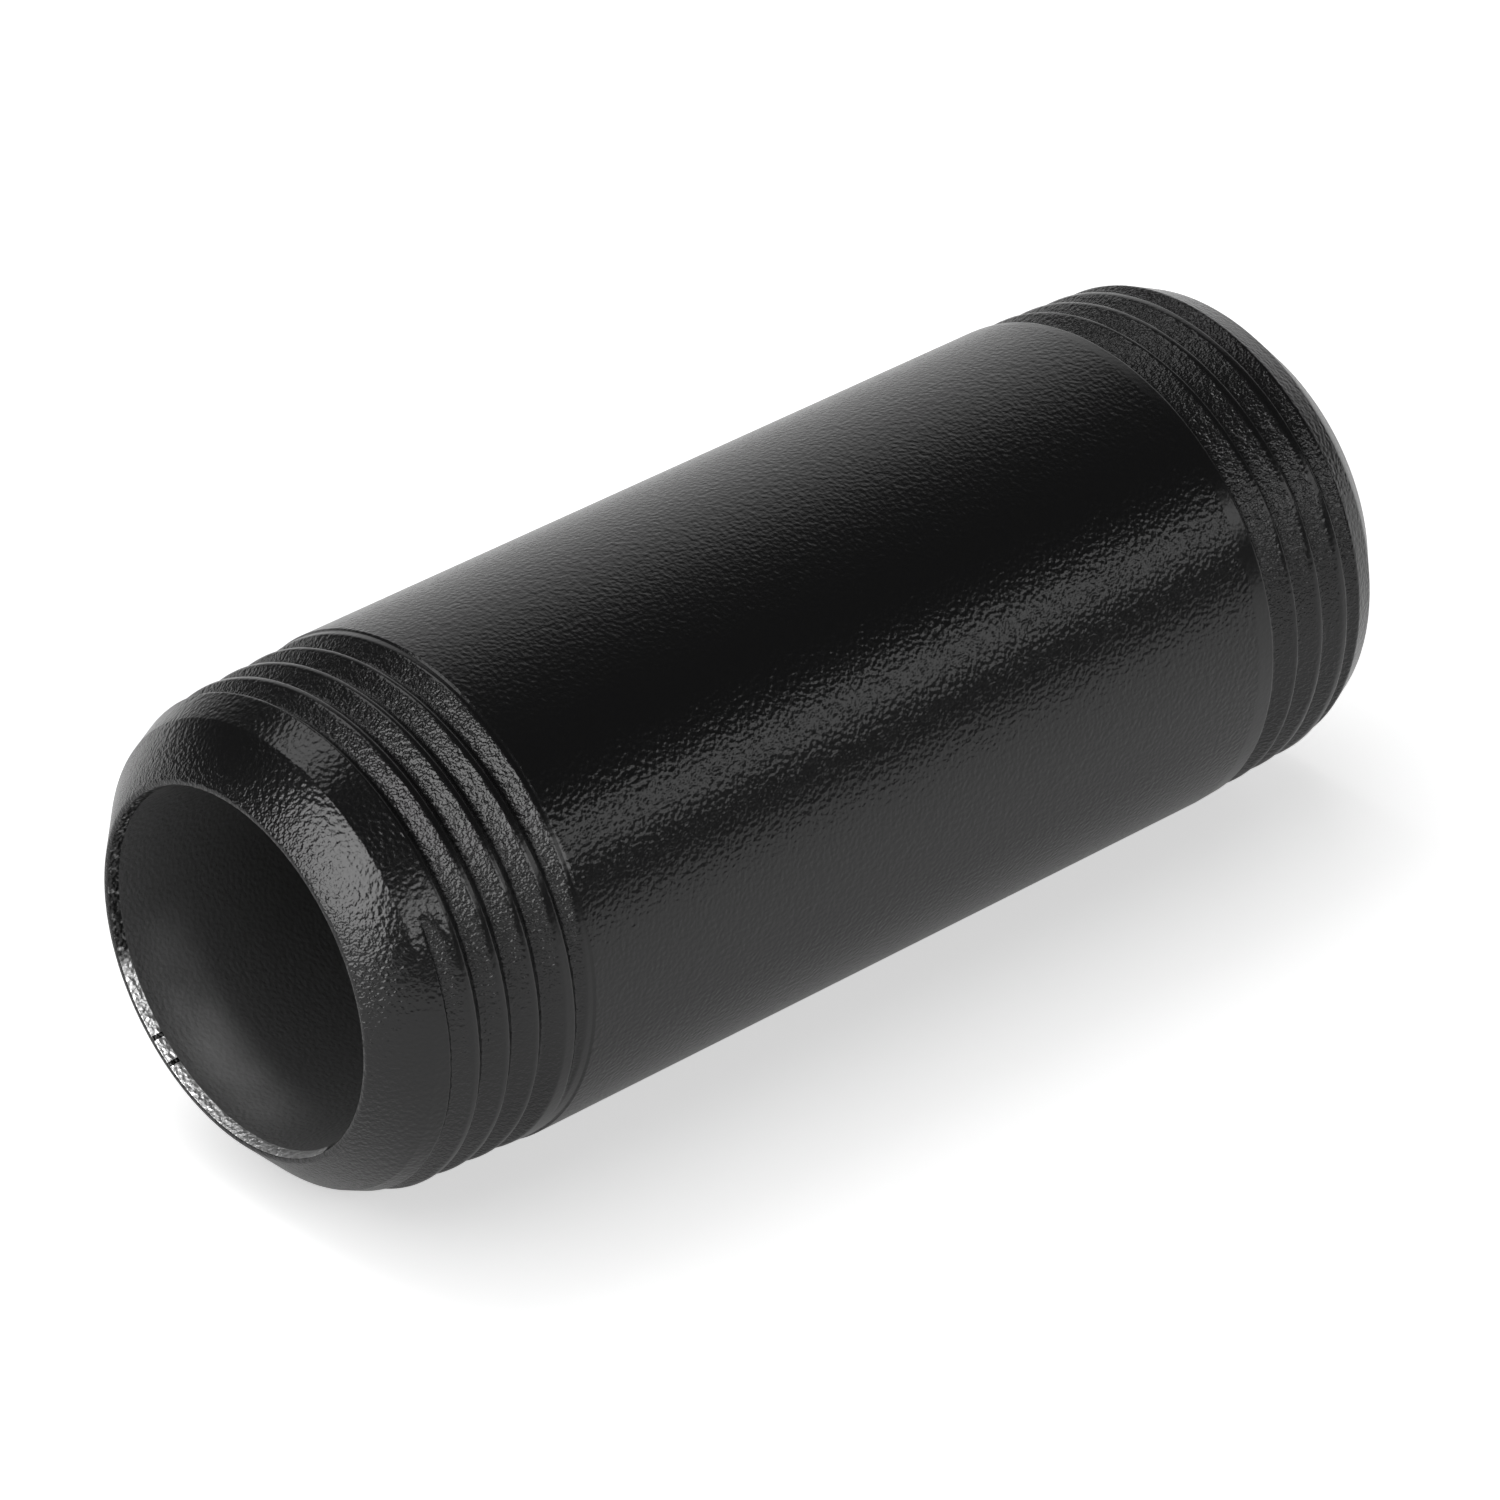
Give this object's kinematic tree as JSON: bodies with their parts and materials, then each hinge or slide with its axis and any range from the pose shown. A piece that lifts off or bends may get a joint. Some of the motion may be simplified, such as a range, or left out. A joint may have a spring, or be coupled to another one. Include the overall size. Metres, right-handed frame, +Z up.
{
  "type": "pipe nipple",
  "caption": "Straight threaded pipe nipple in black powder-coated steel, with a tapered external thread at each end and an open bore.",
  "frame": {"origin": "centre of the pipe, on the bore axis, halfway between the end faces", "axes": "+X along the bore towards the far end, +Z up as the pipe lies on its side"},
  "size_m": [0.067, 0.0266, 0.0266],
  "materials": {
    "powder_coat": "satin black powder coat with a fine orange-peel grain"
  },
  "bodies": {
    "root": {"pipe_nipple": "powder_coat"}
  },
  "joints": []
}
